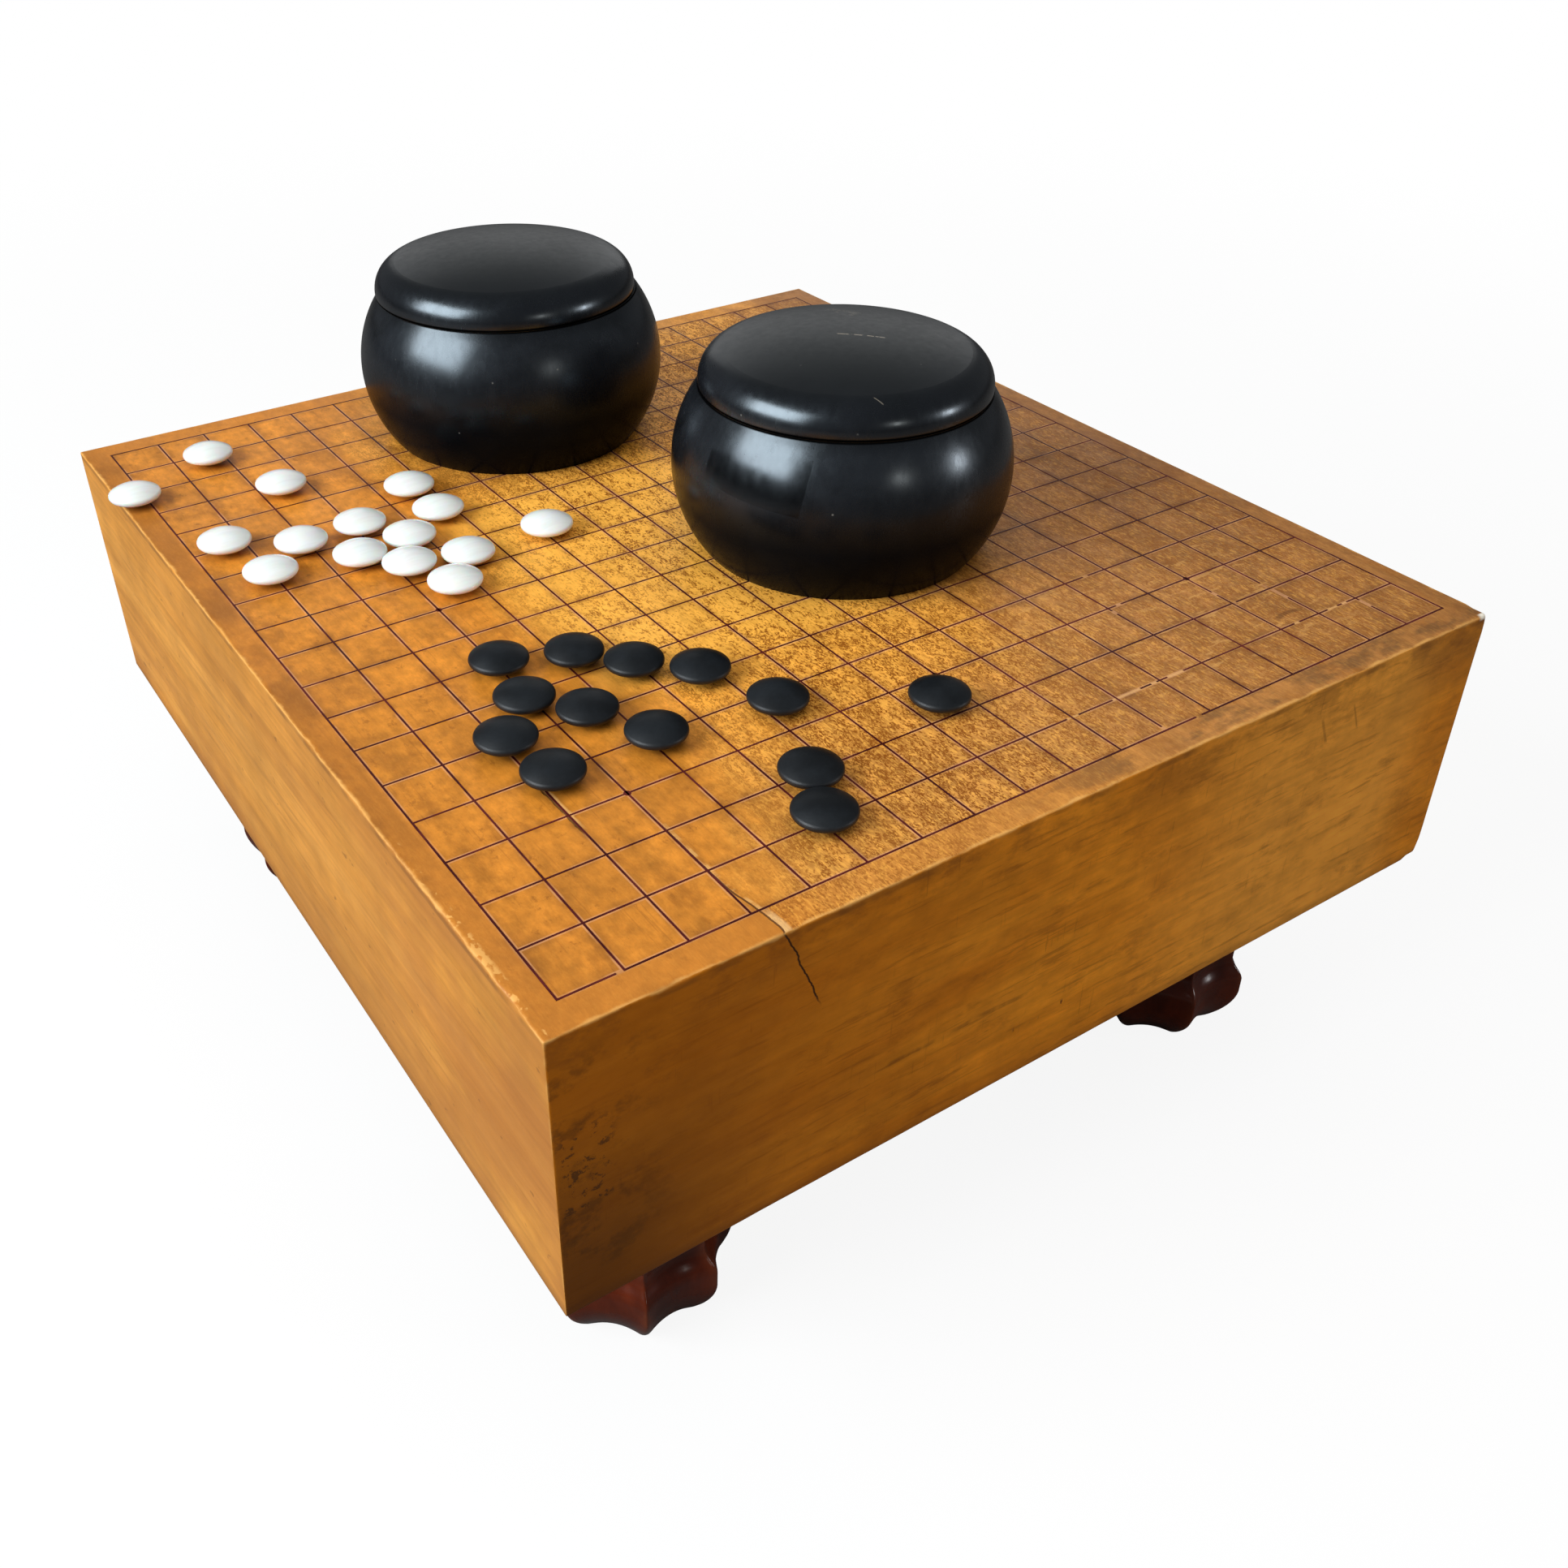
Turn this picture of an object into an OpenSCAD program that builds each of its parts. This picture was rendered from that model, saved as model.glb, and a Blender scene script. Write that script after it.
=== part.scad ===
// A floor go board on four carved feet, with its lidded bowls and a game's first stones.
// Millimetres. Z is up, the floor is z = 0 and the origin lies under the middle of the board.
// +X runs along the board's short side and +Y along its long side, away from the player.

/* [Board] */
// Spacing of the lines along X
cell_x = 22; // [21:0.1:24]
// Spacing of the lines along Y
cell_y = 23.85; // [22.5:0.05:26]
// Wood left outside the outermost line along X
margin_x = 11.1; // [9:0.1:20]
// Wood left outside the outermost line along Y
margin_y = 12.4; // [9:0.1:20]
// Thickness of the block
board_t = 119; // [90:1:180]
// Chamfer that eases every edge of the block
edge_ease = 0.8; // [0.2:0.1:2]

/* [Lines] */
// Width of a lacquer line
line_w = 0.8; // [0.5:0.05:1.2]
// Height that the lacquer stands above the wood
line_h = 0.12; // [0.08:0.01:0.3]
// Diameter of a star point
star_d = 2.6; // [2:0.1:4.5]

/* [Hollow under the board] */
// Width of the hollow at its mouth
hollow_w = 96; // [60:1:130]
// Depth of the hollow at its rim
hollow_depth = 24; // [10:1:40]
// How far the walls of the hollow lean in from mouth to bottom
hollow_lean = 14; // [4:1:25]
// Height of the pyramid left standing in the hollow
pyramid_h = 12; // [4:1:20]
// Width of the flat on top of that pyramid
point_w = 6; // [3:1:12]

/* [Legs] */
// Height from the floor to the underside of the block
leg_h = 102; // [85:1:140]
// Distance of the leg's axis from the block's long sides
leg_inset_x = 65.5; // [58:0.5:90]
// Distance of the leg's axis from the block's short sides
leg_inset_y = 71.5; // [58:0.5:90]
// Radius of the ridges where the leg touches the floor
foot_r = 33; // [26:0.5:36]
// Radius of the ridges at the low swelling above the floor
calyx_r = 41; // [37:0.5:44]
// Height of the low swelling
calyx_z = 20; // [14:0.5:26]
// Radius of the ridges at the waist
waist_r = 35; // [30:0.5:37]
// Height of the waist
waist_z = 40; // [34:0.5:46]
// Radius of the ridges at the widest part of the fruit
fruit_r = 45; // [40:0.5:50]
// Height of the widest part of the fruit
fruit_z = 71; // [60:0.5:76]
// Radius of the ridges under the block
crown_r = 38; // [32:0.5:42]
// Depth of a flute below the straight line between two ridges, as a share of the radius
flute_depth = 0.09; // [0.04:0.002:0.12]
// Thickness of the flat toe at the floor
toe_t = 2; // [1:0.5:4]
// Width of the square tenon
tenon_w = 26; // [18:1:34]
// Length of the tenon
tenon_l = 24; // [15:1:40]
// Clearance on each side of the tenon
tenon_gap = 0.1; // [0.05:0.05:0.3]
// Space left beyond the end of the tenon
tenon_room = 1; // [0.5:0.5:3]

/* [Bowls] */
// Radius of the bowl at its widest
bowl_r = 70.5; // [60:0.5:78]
// Radius of the arc of the bowl's side
bowl_arc = 55; // [50:0.5:60]
// Height of the widest part above the bowl's foot
belly_z = 35; // [32:0.5:39]
// Height of the bowl to the seam under its lid
bowl_h = 68.2; // [62:0.1:74]
// Thickness of the bowl's wall
bowl_wall = 6.5; // [4:0.5:9]
// Thickness of the bowl's bottom
bowl_base = 8; // [5:0.5:12]
// Height of the lip that the lid fits over
lip_h = 3.5; // [2:0.5:5]
// Thickness of the lip
lip_t = 2.6; // [2:0.2:4]
// Width of the ring that the bowl stands on
foot_ring_w = 7; // [4:0.5:12]
// Depth of the dished underside inside that ring
foot_dish = 1.5; // [0.5:0.5:3]

/* [Lids] */
// Radius of the lid at its widest
lid_r = 59.7; // [58.5:0.1:63]
// Height of the lid above the seam
lid_h = 21.2; // [19:0.1:25]
// Radius of the lid's round edge
lid_edge = 13.3; // [10:0.1:14.5]
// Height of the widest part above the seam
lid_edge_z = 1.8; // [0.6:0.1:3]
// Thickness of the lid's top
lid_wall = 6; // [4.5:0.5:6.5]
// Clearance between the lip and the lid
lid_gap = 1.3; // [0.2:0.1:1.6]
// How far the white bowl's lid has slipped to the left on its lip, as a share of the clearance
lid_slip = 0.9; // [0:0.05:0.95]

/* [Stones] */
// Diameter of a white stone
white_d = 22.4; // [21:0.1:23]
// Thickness of a white stone
white_t = 9; // [7:0.1:10.5]
// Diameter of a black stone
black_d = 22.6; // [21:0.1:23]
// Thickness of a black stone
black_t = 9.2; // [7:0.1:10.5]
// Radius of a stone's round rim
stone_rim = 1.6; // [1:0.1:2.2]
// Clearance under and between stones
stone_gap = 0.2; // [0.1:0.05:0.4]

/* [Hidden] */
$fn = 96;
fuzz = 1;
line_count = 19;
star_steps = [-6, 0, 6];
flutes = 8;
stored_layers = 7;

// Overall sizes of the board
field_x = cell_x * (line_count - 1);
field_y = cell_y * (line_count - 1);
board_x = field_x + 2 * margin_x;
board_y = field_y + 2 * margin_y;
top_z = leg_h + board_t;
play_z = top_z + line_h;

// Plan places of the legs, named for the player's side
leg_x = board_x / 2 - leg_inset_x;
leg_y = board_y / 2 - leg_inset_y;

// Bowls stand by their stones: first value clears the left side of the board,
// second the long side's end, both to the bowl's nearest flank
white_bowl_clear = [116.7, 153.6];
black_bowl_clear = [177.2, 123.3];
white_bowl_at = [bowl_r + white_bowl_clear[0] - board_x / 2, bowl_r + board_y / 2 - white_bowl_clear[1]];
black_bowl_at = [bowl_r + black_bowl_clear[0] - board_x / 2, bowl_r + black_bowl_clear[1] - board_y / 2];

// Stones as they lie in play, in stone widths from the left side and from the near end:
// the far end for white and the player's end for black
white_places = [
    [2.1, 2.01], [2.86, 4.15], [0.27, 3.08], [4.96, 5.62], [5.0, 6.87],
    [3.49, 6.61], [4.07, 7.59], [1.08, 5.94], [2.28, 6.7], [3.0, 7.77],
    [3.62, 8.57], [4.69, 8.8], [4.02, 9.64], [1.39, 7.5], [6.43, 8.62]
];
black_places = [
    [3.41, 7.75], [4.56, 7.3], [5.23, 6.51], [6.02, 5.75], [3.24, 6.55],
    [3.9, 5.71], [4.47, 4.6], [2.48, 5.71], [2.66, 4.56], [6.55, 4.34],
    [8.72, 3.01], [5.84, 2.52], [5.4, 1.6]
];

WHITE_STONES = [for (i = [1 : len(white_places)]) str("white_stone_", i)];
BLACK_STONES = [for (i = [1 : len(black_places)]) str("black_stone_", i)];
WHITE_LAYERS = [for (k = [1 : stored_layers]) str("white_bowl_stones_", k)];
BLACK_LAYERS = [for (k = [1 : stored_layers]) str("black_bowl_stones_", k)];

// Board

// Rectangle with its four corners cut off
module eased_rectangle(w, d) {
    x = w / 2;
    y = d / 2;
    e = edge_ease;
    polygon([
        [e - x, -y], [x - e, -y], [x, e - y], [x, y - e],
        [x - e, y], [e - x, y], [-x, y - e], [-x, e - y]
    ]);
}

// Block with a chamfer along all twelve edges: where three chamfered bars cross
module eased_block(w, d, h) {
    intersection() {
        translate([0, 0, -h / 2]) linear_extrude(h) eased_rectangle(w, d);
        rotate([90, 0, 0]) translate([0, 0, -d / 2]) linear_extrude(d) eased_rectangle(w, h);
        rotate([90, 0, 90]) translate([0, 0, -w / 2]) linear_extrude(w) eased_rectangle(d, h);
    }
}

// Square frustum standing on z = 0, from two crossed bars of one outline
module square_frustum(bottom_w, top_w, h) {
    intersection_for(turn = [0, 90])
        rotate([0, 0, turn]) rotate([90, 0, 0]) translate([0, 0, -bottom_w / 2]) linear_extrude(bottom_w)
            polygon([[-bottom_w / 2, 0], [bottom_w / 2, 0], [top_w / 2, h], [-top_w / 2, h]]);
}

// Carved hollow of the underside: four sloping walls round a low pyramid
module sound_hollow() {
    floor_w = hollow_w - 2 * hollow_lean;
    difference() {
        union() {
            square_frustum(hollow_w, floor_w, hollow_depth);
            translate([0, 0, -fuzz]) linear_extrude(fuzz) square(hollow_w, center = true);
        }
        translate([0, 0, hollow_depth]) mirror([0, 0, 1]) square_frustum(floor_w, point_w, pyramid_h);
    }
}

module at_legs() {
    for (x = [-leg_x, leg_x], y = [-leg_y, leg_y]) translate([x, y, 0]) children();
}

module board_block() {
    mortise_w = tenon_w + 2 * tenon_gap;
    mortise_l = tenon_l + tenon_room;
    color("peru") difference() {
        translate([0, 0, leg_h + board_t / 2]) eased_block(board_x, board_y, board_t);
        translate([0, 0, leg_h]) sound_hollow();
        translate([0, 0, leg_h - fuzz]) at_legs() linear_extrude(mortise_l + fuzz)
            square(mortise_w, center = true);
    }
}

// Lines and star points

module at_stars() {
    for (i = star_steps, j = star_steps) translate([i * cell_x, j * cell_y]) children();
}

module grid_lines() {
    last = (line_count - 1) / 2;
    color("#2a1210") translate([0, 0, top_z]) linear_extrude(line_h) difference() {
        union() {
            for (i = [-last : last]) translate([i * cell_x, 0])
                square([line_w, field_y + line_w], center = true);
            for (j = [-last : last]) translate([0, j * cell_y])
                square([field_x + line_w, line_w], center = true);
        }
        at_stars() circle(d = star_d);
    }
}

module star_points() {
    color("#2a1210") translate([0, 0, top_z]) linear_extrude(line_h) at_stars() circle(d = star_d);
}

// Legs: a gardenia fruit of eight sharp ridges with hollow flutes between them

ridge_angle = 180 / flutes;
flute_floor = cos(ridge_angle) - flute_depth;
flute_arc = (pow(flute_depth, 2) + pow(sin(ridge_angle), 2)) / (2 * flute_depth);
flute_steps = 6;
bulb_rings = 22;

// Outline of the star at an angle from the middle of a flute, for ridges of radius 1
function flute_radius(a) =
    let (centre = flute_floor + flute_arc)
    centre * cos(a) - sqrt(pow(flute_arc, 2) - pow(centre * sin(a), 2));

// Share of the way from one level to the next, easing out of both
function ease(z, low, high) = (1 - cos(180 * (z - low) / (high - low))) / 2;

// Radius of the ridges at a height: out from the toe to the low swelling, in to the waist,
// out to the fruit and in again under the block
function ridge_radius(z) =
    z < calyx_z ? calyx_r - (calyx_r - foot_r) * pow((calyx_z - z) / (calyx_z - toe_t), 2) :
    z < waist_z ? calyx_r + (waist_r - calyx_r) * ease(z, calyx_z, waist_z) :
    z < fruit_z ? waist_r + (fruit_r - waist_r) * ease(z, waist_z, fruit_z) :
    fruit_r + (crown_r - fruit_r) * pow((z - fruit_z) / (leg_h - fruit_z), 2);

function star(r) = [
    for (k = [0 : flutes - 1], s = [0 : flute_steps - 1])
        let (a = ridge_angle * (2 * s / flute_steps - 1), turn = 2 * ridge_angle * k + a)
        r * flute_radius(a) * [cos(turn), sin(turn)]
];

// The fluted bulb from the toe to the block: rings of one star, closed by a fan at each end
module fluted_bulb() {
    n = flutes * flute_steps;
    heights = [for (i = [0 : bulb_rings]) toe_t + (leg_h - toe_t) * i / bulb_rings];
    rings = [for (z = heights, p = star(ridge_radius(z))) [p[0], p[1], z]];
    last = bulb_rings * n;
    bottom = len(rings);
    top = bottom + 1;
    sides = [
        for (i = [0 : bulb_rings - 1], j = [0 : n - 1])
            let (a = i * n + j, b = i * n + (j + 1) % n)
            each [[a, a + n, b], [b, a + n, b + n]]
    ];
    ends = [
        for (j = [0 : n - 1])
            let (k = (j + 1) % n)
            each [[bottom, j, k], [top, last + k, last + j]]
    ];
    polyhedron(concat(rings, [[0, 0, toe_t], [0, 0, leg_h]]), concat(sides, ends), convexity = 6);
}

module leg(x, y) {
    color("#4a1a12") translate([x, y, 0]) {
        linear_extrude(toe_t) polygon(star(foot_r));
        fluted_bulb();
        translate([0, 0, leg_h]) linear_extrude(tenon_l) square(tenon_w, center = true);
    }
}

// Stones

// Half outline of a lens with a round rim: two shallow arcs that run into the rim's own arc
module lens_outline(d, t) {
    rim_x = d / 2 - stone_rim;
    h = t / 2;
    face_arc = (pow(rim_x, 2) + pow(h, 2) - pow(stone_rim, 2)) / (2 * (h - stone_rim));
    join_x = rim_x * face_arc / (face_arc - stone_rim);
    intersection() {
        translate([0, h - face_arc]) circle(face_arc);
        translate([0, face_arc - h]) circle(face_arc);
        translate([0, -h]) square([join_x, t]);
    }
    intersection() {
        translate([rim_x, 0]) circle(stone_rim);
        translate([join_x, -stone_rim]) square(2 * stone_rim);
    }
}

module stone(d, t) {
    rotate_extrude() lens_outline(d, t);
}

module white_stone(place) {
    x = place[0] * white_d - board_x / 2;
    y = board_y / 2 - place[1] * white_d;
    color("ivory") translate([x, y, play_z + stone_gap + white_t / 2]) stone(white_d, white_t);
}

module black_stone(place) {
    x = place[0] * black_d - board_x / 2;
    y = place[1] * black_d - board_y / 2;
    color("#23262a") translate([x, y, play_z + stone_gap + black_t / 2]) stone(black_d, black_t);
}

// Bowls

// Half section through the bowl's solid: the belly's disc cut level at the foot and at the seam
module belly_disc(inset) {
    intersection() {
        translate([bowl_r - bowl_arc, belly_z]) circle(bowl_arc - inset);
        square([bowl_r, bowl_h]);
    }
}

function inner_radius(z) =
    bowl_r - bowl_arc + sqrt(pow(bowl_arc - bowl_wall, 2) - pow(z - belly_z, 2));
mouth_r = inner_radius(bowl_h);
lip_r = mouth_r + lip_t;
foot_edge_r = bowl_r - bowl_arc + sqrt(pow(bowl_arc, 2) - pow(belly_z, 2));

module bowl(at) {
    color("#17181b") translate([at[0], at[1], play_z]) rotate_extrude() difference() {
        union() {
            belly_disc(0);
            translate([0, bowl_h]) square([lip_r, lip_h]);
        }
        intersection() {
            belly_disc(bowl_wall);
            translate([0, bowl_base]) square([bowl_r, bowl_h]);
        }
        translate([0, bowl_h - fuzz]) square([mouth_r, lip_h + 2 * fuzz]);
        translate([0, -fuzz]) square([foot_edge_r - foot_ring_w, foot_dish + fuzz]);
    }
}

// One level layer of the stones kept in a bowl, on a triangular grid: every second layer lies over
// the gaps of the one below and sinks into them
module stored_layer(at, d, t, k) {
    pitch = d + stone_gap;
    nest = pitch / sqrt(12);
    face_arc = (pow(d / 2 - stone_rim, 2) + pow(t / 2, 2) - pow(stone_rim, 2)) / (t - 2 * stone_rim);
    sink = face_arc - sqrt(pow(face_arc, 2) - pow(nest, 2));
    z = bowl_base + stone_gap + t / 2 + k * (t - 2 * sink + stone_gap);
    room = min(inner_radius(z - t / 4), inner_radius(z + t / 4)) - d / 2 - stone_gap;
    shift = k % 2 == 0 ? [0, 0] : [pitch / 2, nest];
    reach = ceil(bowl_r / pitch) + 1;
    for (i = [-reach : reach], j = [-reach : reach]) {
        place = pitch * [i + j / 2, j * sqrt(3) / 2] + shift;
        if (norm(place) < room) translate([at[0] + place[0], at[1] + place[1], play_z + z]) stone(d, t);
    }
}

module white_layer(k) {
    color("ivory") stored_layer(white_bowl_at, white_d, white_t, k);
}

module black_layer(k) {
    color("#23262a") stored_layer(black_bowl_at, black_d, black_t, k);
}

// Lids

lid_rise = lid_h - lid_edge_z;
crown_x = lid_r - lid_edge;
crown_arc = (pow(crown_x, 2) + pow(lid_rise, 2) - pow(lid_edge, 2)) / (2 * (lid_rise - lid_edge));
crown_join_x = crown_x * crown_arc / (crown_arc - lid_edge);

// Half section of the lid's outside: a flat dome that runs into a round edge, cut level at the seam
module lid_outline() {
    intersection() {
        translate([0, lid_h - crown_arc]) circle(crown_arc);
        square([crown_join_x, lid_h]);
    }
    intersection() {
        translate([crown_x, lid_edge_z]) circle(lid_edge);
        translate([crown_join_x, 0]) square([lid_edge, lid_h]);
    }
}

module lid(at) {
    color("#1b1c1f") translate([at[0], at[1], play_z + bowl_h]) rotate_extrude() difference() {
        lid_outline();
        intersection() {
            translate([0, lid_h - crown_arc]) circle(crown_arc - lid_wall);
            translate([0, -fuzz]) square([lip_r + lid_gap, lid_h]);
        }
        translate([0, -fuzz]) square([lip_r + lid_gap, lip_h + lid_gap + fuzz]);
    }
}

module white_bowl() { bowl(white_bowl_at); }
module white_bowl_lid() { lid(white_bowl_at - [lid_slip * lid_gap, 0]); }
module black_bowl() { bowl(black_bowl_at); }
module black_bowl_lid() { lid(black_bowl_at); }
module leg_front_left() { leg(-leg_x, -leg_y); }
module leg_front_right() { leg(leg_x, -leg_y); }
module leg_rear_left() { leg(-leg_x, leg_y); }
module leg_rear_right() { leg(leg_x, leg_y); }

board_block();
grid_lines();
star_points();
leg_front_left();
leg_front_right();
leg_rear_left();
leg_rear_right();
white_bowl();
white_bowl_lid();
black_bowl();
black_bowl_lid();
for (k = [0 : stored_layers - 1])
    white_layer(k);
for (k = [0 : stored_layers - 1])
    black_layer(k);
for (i = [0 : len(white_places) - 1])
    white_stone(white_places[i]);
for (i = [0 : len(black_places) - 1])
    black_stone(black_places[i]);
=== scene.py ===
import math

import bpy
import numpy as np
from mathutils import Matrix, Vector, noise


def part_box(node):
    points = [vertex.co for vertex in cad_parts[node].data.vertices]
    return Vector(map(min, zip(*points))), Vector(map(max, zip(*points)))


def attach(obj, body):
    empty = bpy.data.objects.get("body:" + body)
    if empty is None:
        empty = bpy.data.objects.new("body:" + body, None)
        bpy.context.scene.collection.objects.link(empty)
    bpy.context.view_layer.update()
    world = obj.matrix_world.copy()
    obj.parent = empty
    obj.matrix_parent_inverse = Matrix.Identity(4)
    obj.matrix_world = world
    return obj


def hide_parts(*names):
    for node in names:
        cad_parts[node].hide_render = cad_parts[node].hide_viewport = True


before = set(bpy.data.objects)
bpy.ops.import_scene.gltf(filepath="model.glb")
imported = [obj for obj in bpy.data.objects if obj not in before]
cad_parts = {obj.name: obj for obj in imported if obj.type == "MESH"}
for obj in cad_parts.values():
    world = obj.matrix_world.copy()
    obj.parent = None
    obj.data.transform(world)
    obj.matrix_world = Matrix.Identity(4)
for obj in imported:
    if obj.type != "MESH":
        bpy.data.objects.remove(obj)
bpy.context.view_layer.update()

# The block: one thick piece of honey-brown wood, planed smooth and waxed, with the grain along Y, so that
# the front and back are end grain. Its edges were eased by hand and have since been rounded and chipped.
# The underside has a carved square hollow with a low pyramid left standing in it.
block_low, block_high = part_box("board_block")
block_half = Vector((block_high.x, block_high.y))
top_z = block_high.z
under_z = block_low.z
hollow_half, hollow_floor_half, hollow_point_half = 0.048, 0.034, 0.003
hollow_deep, pyramid_tall = 0.024, 0.012
edge_round, deepest_chip, near_edge, near_corner = 0.0007, 0.0042, 0.006, 0.008
# the left side's low edge lies in by so much at its middle, and by so much more to the metre toward the back
lean_in, lean_grows = 0.0026, 0.0062
cell_x, cell_y = 0.022, 0.02385
field_x, field_y = 9 * cell_x, 9 * cell_y

# chips along the top left edge, the front edge and the right front corner: place along it, length, depth
left_edge_chips = [(-0.207, 0.006, 0.0026), (-0.190, 0.004, 0.0016), (-0.168, 0.010, 0.0012),
                   (-0.141, 0.005, 0.0017), (-0.128, 0.003, 0.0022), (-0.098, 0.008, 0.0010),
                   (-0.060, 0.006, 0.0014), (-0.020, 0.005, 0.0008), (0.035, 0.008, 0.0009),
                   (0.092, 0.006, 0.0012), (0.150, 0.005, 0.0008)]
front_edge_chips = [(-0.166, 0.006, 0.0016), (-0.127, 0.002, 0.0018), (-0.060, 0.008, 0.0007),
                    (0.012, 0.005, 0.0012), (0.078, 0.009, 0.0008), (0.135, 0.005, 0.0009)]
corner_chips = [(top_z, 0.004, 0.0010), (under_z, 0.006, 0.0020)]

# the skin is cut evenly by this step, and by an edge at these distances from it
skin_step = 0.0035
edge_cuts = [0, 0.0002, 0.0005, 0.0009, 0.0014, 0.0021, 0.003, deepest_chip]


def cut_places(half):
    """Where the skin is cut along a side of the block: at the hollow, then evenly, then close by the edge."""
    pyramid = list(np.linspace(hollow_point_half, hollow_floor_half, 5))
    wall = list(np.linspace(hollow_floor_half, hollow_half, 4))
    first, last = hollow_half + 0.004, half - near_edge
    even = list(np.linspace(first, last, round((last - first) / skin_step)))
    right = [0] + pyramid + wall[1:] + even + [half - cut for cut in edge_cuts[::-1]]
    return np.array([-place for place in right[:0:-1]] + right)


def hollow_rise(x, y):
    """How far the underside is cut up into the block at a place."""
    reach = max(abs(x), abs(y))
    if reach >= hollow_half:
        return 0.0
    if reach >= hollow_floor_half:
        return hollow_deep * (hollow_half - reach) / (hollow_half - hollow_floor_half)
    slope = (hollow_floor_half - max(reach, hollow_point_half)) / (hollow_floor_half - hollow_point_half)
    return hollow_deep - pyramid_tall * slope


def chipped(chips, place):
    """How much deeper the chips along an edge wear it at a place."""
    return sum(deep * math.exp(-((place - middle) / length) ** 2) for middle, length, deep in chips)


def edge_radius(x, y, z):
    """How far the edge is rounded at a place: worn unevenly, more where it is chipped."""
    wander = noise.noise(Vector((x, y, z)) * 45) + 0.6 * noise.noise(Vector((x, y, z)) * 190)
    radius = edge_round * (1 + 0.25 * wander)
    if z > top_z - near_edge and x < -block_half.x + near_edge:
        radius += chipped(left_edge_chips, y)
    if z > top_z - near_edge and y < -block_half.y + near_edge:
        radius += chipped(front_edge_chips, x)
    if x > block_half.x - near_corner and y < -block_half.y + near_corner:
        radius += chipped(corner_chips, z)
    return min(radius, deepest_chip)


def eased(x, y, z):
    """A point of the sharp block moved in to the rounded edge."""
    low = z - under_z < top_z - z
    room = np.array([block_half.x - abs(x), block_half.y - abs(y), min(z - under_z, top_z - z)])
    if (room < deepest_chip).sum() < 2:
        return x, y, z
    radius = edge_radius(x, y, z)
    over = np.maximum(radius - room, 0)
    span = np.linalg.norm(over)
    if span <= radius:
        return x, y, z
    move = over - over * radius / span
    return x - math.copysign(move[0], x), y - math.copysign(move[1], y), z + (move[2] if low else -move[2])


def out_of_true(x, y, z):
    """The left side isn't quite upright: it leans in toward its low edge, most at the back."""
    if x > -hollow_half:
        return x
    share = (-x - hollow_half) / (block_half.x - hollow_half)
    return x + share * (lean_in + lean_grows * y) * (top_z - z) / (top_z - under_z)


def skin_of_block():
    """The block's whole skin: its points, its faces, and for each face the number of its finish."""
    xs, ys = cut_places(block_half.x), cut_places(block_half.y)
    tall = top_z - under_z
    even = list(np.linspace(0.008, tall - 0.008, 27))
    zs = under_z + np.array(edge_cuts + even + [tall - cut for cut in edge_cuts[::-1]])
    nx, ny, nz = len(xs), len(ys), len(zs)
    points, faces, sides, number = [], [], [], {}
    on_top, on_side, on_end, on_under = range(4)

    def point(i, j, k):
        if (i, j, k) not in number:
            number[i, j, k] = len(points)
            x, y, z = eased(xs[i], ys[j], zs[k])
            points.append((out_of_true(x, y, z), y, z + (hollow_rise(x, y) if k == 0 else 0)))
        return number[i, j, k]

    def face(corners, side):
        faces.append([point(*c) for c in corners])
        sides.append(side)

    for i in range(nx - 1):
        for j in range(ny - 1):
            face([(i, j, nz - 1), (i + 1, j, nz - 1), (i + 1, j + 1, nz - 1), (i, j + 1, nz - 1)], on_top)
            face([(i, j + 1, 0), (i + 1, j + 1, 0), (i + 1, j, 0), (i, j, 0)], on_under)
    for k in range(nz - 1):
        for j in range(ny - 1):
            face([(0, j + 1, k), (0, j, k), (0, j, k + 1), (0, j + 1, k + 1)], on_side)
            face([(nx - 1, j, k), (nx - 1, j + 1, k), (nx - 1, j + 1, k + 1), (nx - 1, j, k + 1)], on_side)
        for i in range(nx - 1):
            face([(i, 0, k), (i + 1, 0, k), (i + 1, 0, k + 1), (i, 0, k + 1)], on_end)
            face([(i + 1, ny - 1, k), (i, ny - 1, k), (i, ny - 1, k + 1), (i + 1, ny - 1, k + 1)], on_end)
    return points, faces, sides


def new_piece(name, points, faces, crease):
    """A smooth mesh with sharp edges where its faces meet at more than the crease, in degrees."""
    mesh = bpy.data.meshes.new(name)
    mesh.from_pydata(points, [], faces)
    mesh.shade_smooth()
    mesh.set_sharp_from_angle(angle=math.radians(crease))
    piece = bpy.data.objects.new(name, mesh)
    bpy.context.scene.collection.objects.link(piece)
    return piece


def tint(red, green, blue):
    """A colour given in screen values of 0 to 255, as the shader takes it."""
    shares = [value / 255 for value in (red, green, blue)]
    return tuple(v / 12.92 if v <= 0.04 else ((v + 0.055) / 1.055) ** 2.4 for v in shares) + (1.0,)


class Varying:
    """A number, colour or shader that varies over a surface. A sum with it lays maths nodes in its finish."""

    def __init__(self, finish, socket):
        self.finish = finish
        self.socket = socket

    def __add__(self, other):
        return self.finish.calc("ADD", self, other)

    def __radd__(self, other):
        return self.finish.calc("ADD", other, self)

    def __sub__(self, other):
        return self.finish.calc("SUBTRACT", self, other)

    def __rsub__(self, other):
        return self.finish.calc("SUBTRACT", other, self)

    def __mul__(self, other):
        return self.finish.calc("MULTIPLY", self, other)

    def __truediv__(self, other):
        return self.finish.calc("DIVIDE", self, other)

    def __pow__(self, other):
        return self.finish.calc("POWER", self, other)

    def __abs__(self):
        return self.finish.calc("ABSOLUTE", self)


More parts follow.
